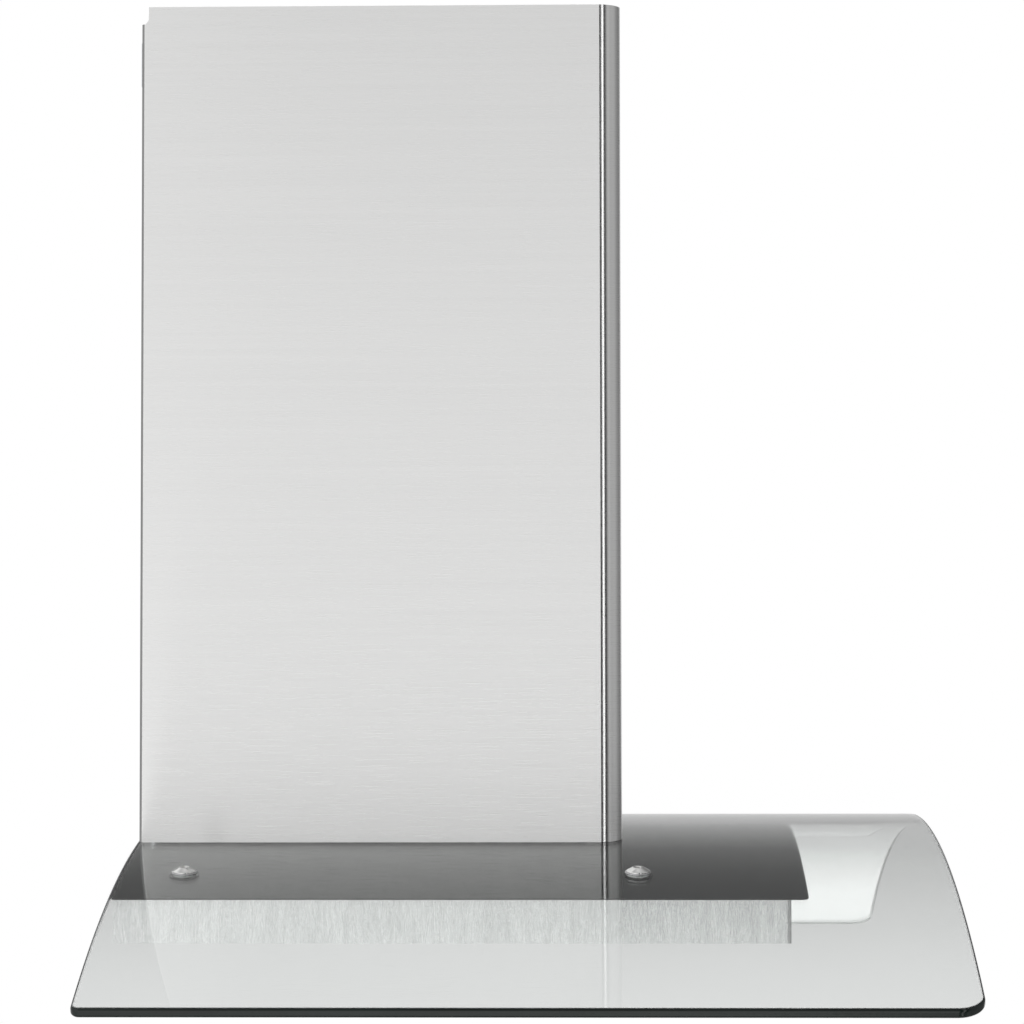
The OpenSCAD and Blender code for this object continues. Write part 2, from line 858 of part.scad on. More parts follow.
module lamp_lens_right() {
    color("ivory") at_ridge() lamp_lens();
}

// ---- Grease filters ----

// Land that widens the front border of a filter for its latch
module filter_land(grow) {
    translate([filter_x - latch_land[0] / 2 - grow, filter_front_y, body_bottom_z - grow])
        cube([latch_land[0] + 2 * grow, latch_land[1] + grow, filter_t + 2 * grow]);
}

module filter_frame() {
    left = filter_x - filter_w / 2;
    difference() {
        union() {
            difference() {
                translate([left, filter_front_y, body_bottom_z]) cube([filter_w, filter_d, filter_t]);
                translate([left + filter_border, filter_front_y + filter_border,
                           body_bottom_z - over])
                    cube([filter_w - 2 * filter_border, filter_d - 2 * filter_border,
                          filter_t + 2 * over]);
            }
            filter_land(0);
            bar_x(filter_pin_r, pin_inner_x, pin_outer_x, filter_pin_y, filter_pin_z);
        }
        // Slot for the latch, open at the front edge
        translate([filter_x - latch_w / 2 - 0.5, filter_front_y - over, latch_z - 0.5])
            cube([latch_w + 1, 25.5 + over, 4]);
        // Finger opening under the slot
        translate([filter_x - 13, filter_front_y + 4, body_bottom_z - over])
            cube([26, 14, 5]);
    }
}

// Two layers of expanded metal, between the borders
module filter_mesh() {
    left = filter_x - filter_w / 2 + filter_border;
    difference() {
        for (z = [1.5, filter_t - 1.5 - mesh_t])
            translate([left, filter_front_y + filter_border, body_bottom_z + z])
                cube([filter_w - 2 * filter_border, filter_d - 2 * filter_border, mesh_t]);
        filter_land(0.01);
    }
}

// Spring latch: a tongue that ends just short of the opening's lip, and a stub for the finger
module filter_latch() {
    translate([filter_x, filter_front_y, latch_z]) {
        translate([-latch_w / 2, -latch_reach, 0]) cube([latch_w, latch_reach + 18, 3]);
        translate([-12, 5, -4]) cube([24, 5, 5]);
    }
}

module filter_frame_left() {
    color("lightgray") at_ridge() on_side(-1) filter_frame();
}

module filter_frame_right() {
    color("lightgray") at_ridge() filter_frame();
}

module filter_mesh_left() {
    color("gray") at_ridge() on_side(-1) filter_mesh();
}

module filter_mesh_right() {
    color("gray") at_ridge() filter_mesh();
}

module filter_latch_left() {
    color([0.15, 0.15, 0.15]) at_ridge() on_side(-1) filter_latch();
}

module filter_latch_right() {
    color([0.15, 0.15, 0.15]) at_ridge() filter_latch();
}

// ---- Push buttons ----

function button_x(i) = (i - (button_count - 1) / 2) * button_pitch;

module button_bezel() {
    low_x = -bezel_size[0] / 2;
    color("silver") at_ridge() difference() {
        span_box([low_x, body_front_y - bezel_t, button_z - bezel_size[1] / 2],
                 [-low_x, body_front_y, button_z + bezel_size[1] / 2]);
        for (i = [0:button_count - 1])
            bar_y(button_r + button_gap, body_front_y + 5, body_front_y - 5, button_x(i), button_z);
    }
}

// Switch bank behind the buttons, on two legs fixed to the front wall
module switch_block() {
    half = 66;
    color([0.15, 0.15, 0.15]) at_ridge() {
        span_box([-half, switch_y, button_z - 11], [half, switch_y + 20, button_z + 11]);
        for (s = [-1, 1]) on_side(s)
            span_box([half, body_front_y + sheet_t, button_z - 11],
                     [half + 3, switch_y + 20, button_z + 11]);
    }
}

// Push button with the collar that keeps it behind the front wall
module push_button(i) {
    inner_y = body_front_y + sheet_t;
    color("gainsboro") at_ridge() {
        bar_y(button_r, inner_y + 1, body_front_y - 6, button_x(i), button_z);
        bar_y(button_r + 1.8, inner_y + 2, inner_y + 0.4, button_x(i), button_z);
        bar_y(3.5, inner_y + 10, inner_y + 1, button_x(i), button_z);
    }
}

module button_off() {
    push_button(0);
}

module button_speed_1() {
    push_button(1);
}

module button_speed_2() {
    push_button(2);
}

module button_speed_3() {
    push_button(3);
}

module button_light() {
    push_button(4);
}

mounting_plate();
stand_off_rails();
blower_box();
blower_box_front();
cross_member_rear();
cross_member_front();
body_shell();
body_back();
bottom_panel();
filter_rail();
filter_pivots();
body_screws();
canopy_plate();
glass_canopy();
glass_pads();
glass_washers();
glass_screws();
screw_caps();
lower_chimney();
chimney_tabs();
upper_chimney();
chimney_bracket();
bracket_screws();
scroll_left();
scroll_right();
blower_screws();
inlet_ring_left();
inlet_ring_right();
motor();
motor_bracket();
motor_shaft();
impeller();
outlet_collar();
damper_flap_front();
damper_flap_rear();
capacitor();
control_box();
control_box_cover();
circuit_board();
cable_gland();
lamp_housing_left();
lamp_housing_right();
lamp_ring_left();
lamp_ring_right();
lamp_lens_left();
lamp_lens_right();
filter_frame_left();
filter_frame_right();
filter_mesh_left();
filter_mesh_right();
filter_latch_left();
filter_latch_right();
button_bezel();
switch_block();
button_off();
button_speed_1();
button_speed_2();
button_speed_3();
button_light();
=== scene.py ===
"""A wall-mounted chimney range hood: its looks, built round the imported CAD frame.

Everything is in metres in the CAD's frame: X along the wall, -Y into the room, Z up.
Sizes that repeat the CAD's are written in millimetres, times MM.
"""

import json
import math

import bmesh
import bpy
from mathutils import Matrix, Vector
from mathutils.geometry import delaunay_2d_cdt


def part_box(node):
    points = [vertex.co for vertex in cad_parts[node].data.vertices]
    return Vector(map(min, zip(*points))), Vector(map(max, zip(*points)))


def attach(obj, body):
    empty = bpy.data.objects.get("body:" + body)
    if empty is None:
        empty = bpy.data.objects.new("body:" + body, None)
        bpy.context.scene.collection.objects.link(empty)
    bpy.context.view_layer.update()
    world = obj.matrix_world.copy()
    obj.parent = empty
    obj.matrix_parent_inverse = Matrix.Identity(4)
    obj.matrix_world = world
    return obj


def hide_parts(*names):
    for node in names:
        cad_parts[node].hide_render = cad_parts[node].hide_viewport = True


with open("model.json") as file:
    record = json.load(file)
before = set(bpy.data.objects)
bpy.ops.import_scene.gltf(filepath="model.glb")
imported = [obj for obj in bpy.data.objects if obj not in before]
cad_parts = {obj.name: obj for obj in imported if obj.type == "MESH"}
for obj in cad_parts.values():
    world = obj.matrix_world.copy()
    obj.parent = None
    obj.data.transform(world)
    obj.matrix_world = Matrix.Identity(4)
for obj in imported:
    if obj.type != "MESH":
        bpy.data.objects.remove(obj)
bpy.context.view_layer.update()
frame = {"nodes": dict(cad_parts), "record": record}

MM = 0.001
SLOT_OF_NODE = {part["node"]: part["material_slot"] for part in frame["record"]["subparts"]}
BODY_OF_NODE = {node: body for body, nodes in frame["record"]["behaviour"]["bodies"].items()
                for node in nodes}

# Points nearer to each other than these are one point: in a plan, and in a mesh or an outline
SAME = 0.0001 * MM
NEARLY_SAME = 0.001 * MM

# The arch that the glass, the plate and the chimney's lower edge follow
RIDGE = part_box("glass_canopy")[1].z
ARCH_R = 1170 * MM
ARCH_Z = RIDGE - ARCH_R
# The plate hangs this far under the top of the glass, with pads between them
PLATE_DROP = 7 * MM
# Spacing of the lines along which the glass and the plate are faceted
STATION_PITCH = 6.5 * MM
# Rows of faces in the upper, and in the lower, half of a rounded edge
ROUND_STEPS = 4

# Glass fixings: how far they are from the middle, and from the wall
FIXING_X = 248.5 * MM
FIXING_YS = (-40.5 * MM, -313 * MM)

# Chimney
CHIMNEY_R = 13 * MM
SHEET_T = 1 * MM
FLANGE = 18 * MM
BEND_R = 2 * MM
BEND_STEPS = 10
CORNER_STEPS = 28
# The press leaves a faint crease, of this many degrees, where a corner starts
CREASE = 6
# A skin turns to the wall where the normals at its two ends add up to more than this along Y
TO_WALL = 0.3

# Turned pieces and lenses are smooth up to this angle between faces
SMOOTH_UP_TO = math.radians(32)


# ---- Shader nodes ----

def add(tree, kind, inputs=None, **settings):
    """Adds a shader node. Each input is a number, a colour or another node's output."""
    node = tree.nodes.new("ShaderNode" + kind)
    for key, value in settings.items():
        setattr(node, key, value)
    for key, value in (inputs or {}).items():
        if isinstance(value, bpy.types.NodeSocket):
            tree.links.new(value, node.inputs[key])
        else:
            node.inputs[key].default_value = value
    return node


def noise(tree, scale, detail=3.0, roughness=0.6):
    """Noise in the piece's own coordinates, with a scale along each axis."""
    place = add(tree, "TexCoord").outputs["Object"]
    stretched = add(tree, "Mapping", {"Vector": place, "Scale": scale}).outputs["Vector"]
    inputs = {"Vector": stretched, "Scale": 1.0, "Detail": detail, "Roughness": roughness}
    return add(tree, "TexNoise", inputs).outputs["Fac"]


def spread(tree, value, low, high, margin=0.2):
    """Stretches noise, which is mostly within a margin of 0.5, over low to high."""
    inputs = {"Value": value, "From Min": 0.5 - margin, "From Max": 0.5 + margin, "To Min": low,
              "To Max": high}
    return add(tree, "MapRange", inputs).outputs["Result"]


def combine(tree, operation, first, second):
    return add(tree, "Math", {0: first, 1: second}, operation=operation).outputs[0]


def mix_colours(tree, value, dark, light):
    node = add(tree, "Mix", {0: value, 6: (*dark, 1), 7: (*light, 1)}, data_type="RGBA")
    return node.outputs[2]


def shades(colour, change):
    """A darker and a lighter shade of a colour."""
    return [c * (1 - change) for c in colour], [min(1, c * (1 + change)) for c in colour]


def new_material(name, **inputs):
    material = bpy.data.materials.new(name)
    material.use_nodes = True
    shader = material.node_tree.nodes["Principled BSDF"]
    for key, value in inputs.items():
        shader.inputs[key.replace("_", " ")].default_value = value
    return material, material.node_tree, shader


def raise_bump(tree, shader, height, depth, strength=1.0):
    """Bumps the surface by a height from 0 to 1, which stands for depth in metres."""
    node = add(tree, "Bump", {"Height": height, "Distance": depth, "Strength": strength})
    tree.links.new(node.outputs["Normal"], shader.inputs["Normal"])


# ---- Materials ----

def brushed_steel(name, colour, grain, roughness, axis="Z", turn=0.25, contrast=0.05):
    """Brushed steel. The grain's scale is low along the strokes. The gloss spreads along the tangent:
    round the axis, turned by a share of a full turn."""
    material, tree, shader = new_material(name, Metallic=1.0, Anisotropic=1.0, Anisotropic_Rotation=turn)
    broad_scale, broad_share, gloss_change = 0.12, 0.25, 0.03
    strokes = noise(tree, grain, 5.0, 0.7)
    broad = noise(tree, [g * broad_scale for g in grain], 2.0)
    mixed = add(tree, "Mix", {0: broad_share, 2: strokes, 3: broad}).outputs[0]
    dark, light = shades(colour, contrast)
    tone = spread(tree, mixed, 0, 1, margin=0.15)
    tree.links.new(mix_colours(tree, tone, dark, light), shader.inputs["Base Color"])
    gloss = spread(tree, strokes, roughness - gloss_change, roughness + gloss_change)
    tree.links.new(gloss, shader.inputs["Roughness"])
    tangent = add(tree, "Tangent", direction_type="RADIAL", axis=axis)
    tree.links.new(tangent.outputs["Tangent"], shader.inputs["Tangent"])
    raise_bump(tree, shader, strokes, 0.01 * MM, 0.35)
    return material


def galvanised(name, colour):
    """Zinc-coated sheet: flat crystals, each with its own tone and gloss."""
    material, tree, shader = new_material(name, Metallic=1.0)
    place = add(tree, "TexCoord").outputs["Object"]
    crystals = add(tree, "TexVoronoi", {"Vector": place, "Scale": 170.0, "Randomness": 1.0})
    tone = add(tree, "SeparateColor", {"Color": crystals.outputs["Color"]}).outputs[0]
    dull = noise(tree, (60, 60, 60), 4.0)
    both = combine(tree, "MULTIPLY", combine(tree, "ADD", tone, dull), 0.5)
    tone_change = 0.22
    dark, light = shades(colour, tone_change)
    tree.links.new(mix_colours(tree, both, dark, light), shader.inputs["Base Color"])
    tree.links.new(spread(tree, both, 0.34, 0.5), shader.inputs["Roughness"])
    raise_bump(tree, shader, both, 0.02 * MM, 0.3)
    return material


def plain_metal(name, colour, roughness, grain=(300, 300, 300), change=0.08, depth=0.01 * MM):
    """Plated, cast or rolled metal: a fine grain in tone, gloss and height."""
    material, tree, shader = new_material(name, Metallic=1.0)
    gloss_change = 0.25 * roughness
    fine = noise(tree, grain, 5.0, 0.65)
    dark, light = shades(colour, change)
    tree.links.new(mix_colours(tree, spread(tree, fine, 0, 1), dark, light), shader.inputs["Base Color"])
    gloss = spread(tree, fine, roughness - gloss_change, roughness + gloss_change)
    tree.links.new(gloss, shader.inputs["Roughness"])
    raise_bump(tree, shader, fine, depth, 0.4)
    return material


def moulded(name, colour, roughness=0.5, pitch=1800, depth=0.03 * MM, metallic=0.0):
    """Moulded plastic, rubber or paint with a fine leathery grain."""
    material, tree, shader = new_material(name, Metallic=metallic)
    tone_change, gloss_change = 0.15, 0.08
    fine = noise(tree, (pitch, pitch, pitch), 2.0)
    broad = noise(tree, (25, 25, 25), 3.0)
    dark, light = shades(colour, tone_change)
    tree.links.new(mix_colours(tree, spread(tree, broad, 0, 1), dark, light), shader.inputs["Base Color"])
    gloss = spread(tree, fine, roughness - gloss_change, roughness + gloss_change)
    tree.links.new(gloss, shader.inputs["Roughness"])
    raise_bump(tree, shader, fine, depth, 0.5)
    return material


def clear_glass(name, colour=(0.955, 0.975, 0.965), roughness=0.0):
    """Clear glass, with a tint that varies faintly as in float glass."""
    material, tree, shader = new_material(name, Transmission_Weight=1.0, IOR=1.5, Roughness=roughness)
    tint_change = 0.008
    streaks = noise(tree, (3, 14, 3), 1.0)
    dark, light = shades(colour, tint_change)
    tree.links.new(mix_colours(tree, spread(tree, streaks, 0, 1), dark, light), shader.inputs["Base Color"])
    return material


def glass_edge(name):
    """Polished edge of the glass. From outside it is dark, because that light has gone a long way
    through the green tint; from inside the glass it is painted pale, a painted light for the room's light it
    lets in."""
    material, tree, shader = new_material(name, IOR=1.5, Specular_IOR_Level=0.35)
    darkest, dark, pale = (0.004, 0.0065, 0.0055), (0.012, 0.02, 0.017), (0.86, 0.9, 0.88, 1)
    depth = noise(tree, (9, 9, 260), 3.0)
    outside = mix_colours(tree, spread(tree, depth, 0, 1), darkest, dark)
    inside_light_mask = add(tree, "NewGeometry").outputs["Backfacing"]
    # Seen from inside, the edge is painted pale: painted light for the room's light let in
    tone = add(tree, "Mix", {0: inside_light_mask, 6: outside, 7: pale}, data_type="RGBA").outputs[2]
    tree.links.new(tone, shader.inputs["Base Color"])
    tree.links.new(spread(tree, noise(tree, (400, 400, 900)), 0.1, 0.2), shader.inputs["Roughness"])
    return material


def gloss_plate(name):
    """Dark, mirror-like coating, with a trace of the rolled sheet under it."""
    material, tree, shader = new_material(name, IOR=1.5, Specular_IOR_Level=0.5)
    rolled = noise(tree, (40, 900, 40), 3.0)
    dark, light = (0.004, 0.004, 0.0042), (0.009, 0.009, 0.0088)
    tree.links.new(mix_colours(tree, spread(tree, rolled, 0, 1), dark, light), shader.inputs["Base Color"])
    tree.links.new(spread(tree, rolled, 0.05, 0.09), shader.inputs["Roughness"])
    return material


def frosted_lens(name):
    """Frosted plastic that lets about half of the light through."""
    material, tree, shader = new_material(name, Transmission_Weight=0.55, IOR=1.49)
    dark, light = (0.83, 0.83, 0.8), (0.95, 0.95, 0.93)
    fine = noise(tree, (900, 900, 900), 3.0)
    tree.links.new(mix_colours(tree, spread(tree, fine, 0, 1), dark, light), shader.inputs["Base Color"])
    tree.links.new(spread(tree, fine, 0.35, 0.5), shader.inputs["Roughness"])
    raise_bump(tree, shader, fine, 0.04 * MM, 0.5)
    return material


def circuit_green(name):
    """Solder resist over copper tracks."""
    material, tree, shader = new_material(name, Roughness=0.35)
    dark, light = (0.008, 0.07, 0.025), (0.02, 0.16, 0.06)
    place = add(tree, "TexCoord").outputs["Object"]
    scaled = add(tree, "Mapping", {"Vector": place, "Scale": (260, 260, 260)}).outputs["Vector"]
    tracks = add(tree, "TexVoronoi", {"Vector": scaled, "Scale": 1.0}, distance="MANHATTAN",
                 feature="F1").outputs["Distance"]
    edge = add(tree, "MapRange", {"Value": tracks, "From Min": 0.42, "From Max": 0.5}).outputs["Result"]
    tree.links.new(mix_colours(tree, edge, dark, light), shader.inputs["Base Color"])
    raise_bump(tree, shader, edge, 0.05 * MM, 0.5)
    return material


# Scales of the brush strokes along X, Y and Z: low along the strokes
ROUND_CHIMNEY = (30, 30, 2400)
UPRIGHT = (1600, 1600, 240)
ALONG_X = (40, 1800, 1800)
FINISH = {
    "chimney_steel": brushed_steel("chimney_steel", (0.78, 0.78, 0.775), ROUND_CHIMNEY, 0.29, contrast=0.03),
    "body_steel": brushed_steel("body_steel", (0.9, 0.905, 0.905), UPRIGHT, 0.26, turn=0.0, contrast=0.2),
    "galvanised_steel": galvanised("galvanised_steel", (0.6, 0.62, 0.64)),
    "clear_glass": clear_glass("clear_glass"),
    "dark_plate": gloss_plate("dark_plate"),
    "black_rubber": moulded("black_rubber", (0.025, 0.025, 0.025), 0.7, 900),
    "zinc_steel": plain_metal("zinc_steel", (0.66, 0.66, 0.67), 0.28),
    "chrome_cap": plain_metal("chrome_cap", (0.86, 0.86, 0.85), 0.1, depth=0.003 * MM, change=0.03),
    "grey_plastic": moulded("grey_plastic", (0.1, 0.1, 0.105), 0.5),
    "wheel_metal": moulded("wheel_metal", (0.14, 0.14, 0.15), 0.45),
    "motor_metal": moulded("motor_metal", (0.2, 0.21, 0.23), 0.42, 700, 0.08 * MM, 0.4),
    "white_plastic": moulded("white_plastic", (0.75, 0.75, 0.73), 0.4),
    "black_plastic": moulded("black_plastic", (0.022, 0.022, 0.024), 0.45),
    "lamp_housing_metal": plain_metal("lamp_housing_metal", (0.6, 0.6, 0.6), 0.4),
    "circuit_green": circuit_green("circuit_green"),
    "frosted_lens": frosted_lens("frosted_lens"),
    "filter_aluminium": plain_metal("filter_aluminium", (0.74, 0.745, 0.75), 0.36, ALONG_X),
    "mesh_aluminium": plain_metal("mesh_aluminium", (0.7, 0.7, 0.71), 0.32, (500, 500, 500)),
    "control_steel": brushed_steel("control_steel", (0.7, 0.7, 0.7), ALONG_X, 0.36, contrast=0.08),
    "button_metal": brushed_steel("button_metal", (0.8, 0.8, 0.8), (700, 700, 700), 0.3, axis="Y",
                                  turn=0.0, contrast=0.05),
}
# The tray under the body is brushed along X, and its gloss spreads along Y
TRAY_STEEL = brushed_steel("tray_steel", (0.7, 0.7, 0.7), ALONG_X, 0.36, axis="X", turn=0.0, contrast=0.08)
# The bend towards the wall is painted dark, as painted shade for the thin shadowed line along the rear
# edges; its gloss is also duller
SHADED_BEND_STEEL = plain_metal("bend_painted_shade", (0.27, 0.27, 0.27), 0.4, (200, 200, 40))
EDGE_GLASS = glass_edge("glass_edge")
PLATE_EDGE = moulded("plate_edge", (0.012, 0.012, 0.012), 0.4)
BEVEL_GLASS = clear_glass("glass_bevel", (0.97, 0.98, 0.975), 0.3)
MARK_INK = moulded("mark_ink", (0.02, 0.02, 0.022), 0.5)


# ---- Building pieces ----

def make_piece(name, bm, nodes, extra_materials=(), corner_normals=None):
    """Makes a finished mesh the piece that stands for CAD nodes of one body and one slot."""
    mesh = bpy.data.meshes.new(name)
    bm.to_mesh(mesh)
    bm.free()
    for polygon in mesh.polygons:
        polygon.use_smooth = True
    slot = SLOT_OF_NODE[nodes[0]]
    for material in (FINISH[slot], *extra_materials):
        mesh.materials.append(material)
    if corner_normals:
        mesh.normals_split_custom_set(corner_normals)
    else:
        mesh.set_sharp_from_angle(angle=SMOOTH_UP_TO)
    piece = bpy.data.objects.new(name, mesh)
    bpy.context.scene.collection.objects.link(piece)
    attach(piece, BODY_OF_NODE[nodes[0]])
    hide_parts(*nodes)
    return piece


def new_face(bm, corners, normals, corner_normals, material=0):
    """Adds a face and notes the normal of each of its corners; no normals means a flat face."""
    face = bm.faces.new(corners)
    face.material_index = material
    if normals is None:
        face.normal_update()
        normals = [face.normal.copy()] * len(corners)
    corner_normals.extend(tuple(n) for n in normals)


# ---- Sheets with a plan outline: the glass, the plate and the bezel ----

def on_arch(top_r):
    """Places plan points on an arch of that radius: (x, y, depth) to a point, its x, y and up axes."""
    def place(x, y, depth):
        angle = math.asin(x / top_r)
        s, c = math.sin(angle), math.cos(angle)
        r = top_r - depth
        return Vector((r * s, y, ARCH_Z + r * c)), Vector((c, 0, -s)), Vector((0, 1, 0)), Vector((s, 0, c))
    return place


def on_front(face_y, middle_z):
    """Places plan points on an upright face that looks into the room."""
    def place(x, y, depth):
        point = Vector((x, face_y + depth, middle_z + y))
        return point, Vector((1, 0, 0)), Vector((0, 0, 1)), Vector((0, -1, 0))
    return place


def rounded_rect(low, high, front_r, rear_r, stations=(), hole=False, steps=10):
    """A function of the inset that gives the outline as (x, y, outward x, outward y), anticlockwise.
    Its edges along x have a point at each station between their ends."""
    def outline(inset):
        grow, sign = (inset, -1) if hole else (-inset, 1)
        corners = [(low[0], low[1], 1, 1, front_r, 180), (high[0], low[1], -1, 1, front_r, 270),
                   (high[0], high[1], -1, -1, rear_r, 0), (low[0], high[1], 1, -1, rear_r, 90)]
        points = []
        for i, (x, y, sx, sy, r, first) in enumerate(corners):
            cx, cy = x + sx * r, y + sy * r
            for k in range(steps + 1):
                a = math.radians(first + 90 * k / steps)
                c, s = math.cos(a), math.sin(a)
                points.append((cx + (r + grow) * c, cy + (r + grow) * s, sign * c, sign * s))
            if i % 2 == 0:
                edge_y = cy + sy * -(r + grow)
                between = [at for at in stations if low[0] + r + MM < at < high[0] - r - MM]
                for station in sorted(between, reverse=i == 2):
                    points.append((station, edge_y, 0, -sy * sign))
        return [p for p, q in zip(points, points[-1:] + points[:-1])
                if abs(p[0] - q[0]) + abs(p[1] - q[1]) > NEARLY_SAME]
    return outline


def inside(point, outline):
    """Whether a plan point lies inside an outline."""
    found = False
    for (x0, y0, *_), (x1, y1, *_) in zip(outline, outline[1:] + outline[:1]):
        if (y0 > point[1]) != (y1 > point[1]):
            if point[0] < x0 + (point[1] - y0) * (x1 - x0) / (y1 - y0):
                found = not found
    return found


def station_runs(x, low_y, high_y, gaps):
    """The parts of a station line, at x, that keep clear of each gap: |x| and y, from and to."""
    runs = [(low_y, high_y)]
    for x_from, x_to, y_from, y_to in gaps:
        if x_from < abs(x) < x_to:
            runs = [run for a, b in runs for run in ((a, min(b, y_from)), (max(a, y_to), b))
                    if run[1] - run[0] > MM]
    return runs


def edge_profile(thickness, round_r, steps):
    """A rounded edge from top to bottom: (inset, depth, tilt of its normal above level)."""
    profile = []
    for k in range(steps + 1):
        tilt = math.radians(90 * (1 - k / steps))
        profile.append((round_r * (1 - math.cos(tilt)), round_r * (1 - math.sin(tilt)), tilt))
    return profile + [(inset, thickness - depth, -tilt) for inset, depth, tilt in reversed(profile)]


def build_rim(bm, corner_normals, loop, hole, profile, place, strip_material):
    """Adds the edge round an outline. Returns the plan points of the flat inside it, and the vertices
    above and below them."""
    loop_outs = [Vector(p[2:]) for p in loop(0)]
    rings = []
    for inset, depth, tilt in profile:
        ring = []
        for x, y, nx, ny in loop(inset):
            point, across, along, up = place(x, y, depth)
            out = across * nx + along * ny
            ring.append((bm.verts.new(point), out * math.cos(tilt) + up * math.sin(tilt)))
        rings.append(ring)
    for row, (upper, lower) in enumerate(zip(rings, rings[1:])):
        for i in range(len(upper)):
            k = (i + 1) % len(upper)
            corners = [upper[i], lower[i], lower[k], upper[k]]
            if hole:
                corners.reverse()
            along_y = abs(loop_outs[i].y + loop_outs[k].y) / 2
            kind = strip_material(row, along_y)
            new_face(bm, [c[0] for c in corners], [c[1] for c in corners], corner_normals, kind)
    return [p[:2] for p in loop(profile[0][0])], [v for v, n in rings[0]], [v for v, n in rings[-1]]


def build_sheet(bm, corner_normals, outer, holes, stations, gaps, place, thickness, round_r, strip_material,
                steps=ROUND_STEPS):
    """A sheet with rounded edges: its faces are triangles between the outlines and station lines.
    strip_material(row, y's share of the outward direction) names an edge strip's material."""
    profile = edge_profile(thickness, round_r, steps)
    outlines, points, top, bottom, edges = [], [], [], [], []
    for loop, hole in [(outer, False)] + [(h, True) for h in holes]:
        outline, above, below = build_rim(bm, corner_normals, loop, hole, profile, place, strip_material)
        first, count = len(points), len(outline)
        edges += [(first + i, first + (i + 1) % count) for i in range(count)]
        outlines.append(outline)
        points += outline
        top += above
        bottom += below

    def add_point(x, y):
        top.append(bm.verts.new(place(x, y, 0)[0]))
        bottom.append(bm.verts.new(place(x, y, thickness)[0]))
        return len(top) - 1

    front, rear = min(p[1] for p in outlines[0]), max(p[1] for p in outlines[0])
    for station in stations:
        on_rim = {y: i for i, (x, y) in enumerate(outlines[0]) if abs(x - station) < SAME}
        for run in station_runs(station, front, rear, gaps):
            ends = []
            for y in run:
                found = [i for rim_y, i in on_rim.items() if abs(rim_y - y) < SAME]
                if not found:
                    points.append((station, y))
                    found = [add_point(station, y)]
                ends.append(found[0])
            edges.append(tuple(ends))
    flat = delaunay_2d_cdt([Vector(p) for p in points], edges, [], 1, SAME)
    vertices, triangles, originals = flat[0], flat[2], flat[3]
    for i, v in enumerate(vertices):
        if not originals[i]:
            originals[i] = [add_point(v.x, v.y)]
    for triangle in triangles:
        middle = sum((vertices[i] for i in triangle), Vector((0, 0))) / 3
        if not inside(middle, outlines[0]) or any(inside(middle, hole) for hole in outlines[1:]):
            continue
        ups = [place(*vertices[i], 0)[3] for i in triangle]
        names = [originals[i][0] for i in triangle]
        new_face(bm, [top[i] for i in names], ups, corner_normals)
        downs = [-up for up in reversed(ups)]
        new_face(bm, [bottom[i] for i in reversed(names)], downs, corner_normals)


def make_stations(half):
    """Even places along x, from -half to half."""
    count = round(2 * half / STATION_PITCH)
    return [half * (2 * i / count - 1) for i in range(count + 1)]


def make_gaps(low, high, front_r, rear_r, opening, opening_r, hole_r):
    """Where station lines stop: at the sheet's corners, its opening's corners and its fixing holes."""
    half, opening_front, opening_rear = opening
    margin, wide_margin = 3 * MM, 5 * MM
    reach = hole_r + margin
    gaps = [(high.x - front_r - MM, high.x, low.y, low.y + front_r + margin),
            (high.x - rear_r - MM, high.x, high.y - rear_r - margin, high.y),
            (half - opening_r - MM, half + margin, opening_front - wide_margin, opening_rear + wide_margin)]
    return gaps + [(FIXING_X - reach, FIXING_X + reach, y - reach, y + reach) for y in FIXING_YS]


def fixing_holes(r):
    """Outlines of the four round holes for the glass fixings."""
    return [rounded_rect((s * FIXING_X - r, y - r), (s * FIXING_X + r, y + r), r, r, hole=True, steps=6)
            for s in (-1, 1) for y in FIXING_YS]


def make_glass():
    """The arched canopy, with a window for the chimney and holes for the fixings."""
    low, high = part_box("glass_canopy")
    thickness, round_r, front_r, rear_r, hole_r = 6 * MM, 2.1 * MM, 16 * MM, 5 * MM, 5 * MM
    window_half, window_rear, window_front, window_r = 138 * MM, -18 * MM, -292 * MM, 8 * MM
    stations = make_stations(high.x - 5 * MM)
    gaps = make_gaps(low, high, front_r, rear_r, (window_half, window_front, window_rear), window_r, hole_r)
    edge, bevel = 1, 2

    def strip_material(row, along_y):
        """A light line runs round the top; the front and rear edges are also light underneath."""
        straight_front_or_rear = along_y > 0.98
        under = row > ROUND_STEPS
        return bevel if row == 0 or (under and straight_front_or_rear) else edge

    outer = rounded_rect((low.x, low.y), (high.x, high.y), front_r, rear_r, stations)
    window = rounded_rect((-window_half, window_front), (window_half, window_rear), window_r, window_r,
                          stations, hole=True, steps=6)
    bm, normals = bmesh.new(), []
    build_sheet(bm, normals, outer, [window, *fixing_holes(hole_r)], stations, gaps, on_arch(ARCH_R),
                thickness, round_r, strip_material)
    make_piece("glass_sheet", bm, ["glass_canopy"], [EDGE_GLASS, BEVEL_GLASS], normals)


def make_plate():
    """The dark plate under the glass, with an opening for the blower and holes for the fixings."""
    low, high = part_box("canopy_plate")
    opening_half, opening_rear, opening_front = 130 * MM, -22 * MM, -282 * MM
    corner_r, opening_r, hole_r, round_r = 4 * MM, 2 * MM, 3.5 * MM, 0.25 * MM
    stations = make_stations(high.x - 3 * MM)
    gaps = make_gaps(low, high, corner_r, corner_r, (opening_half, opening_front, opening_rear), opening_r,
                     hole_r)
    outer = rounded_rect((low.x, low.y), (high.x, high.y), corner_r, corner_r, stations)
    opening = rounded_rect((-opening_half, opening_front), (opening_half, opening_rear), opening_r,
                           opening_r, stations, hole=True, steps=4)
    bm, normals = bmesh.new(), []
    build_sheet(bm, normals, outer, [opening, *fixing_holes(hole_r)], stations, gaps,
                on_arch(ARCH_R - PLATE_DROP), SHEET_T, round_r, lambda row, along_y: 1, steps=2)
    make_piece("gloss_plate", bm, ["canopy_plate"], [PLATE_EDGE], normals)


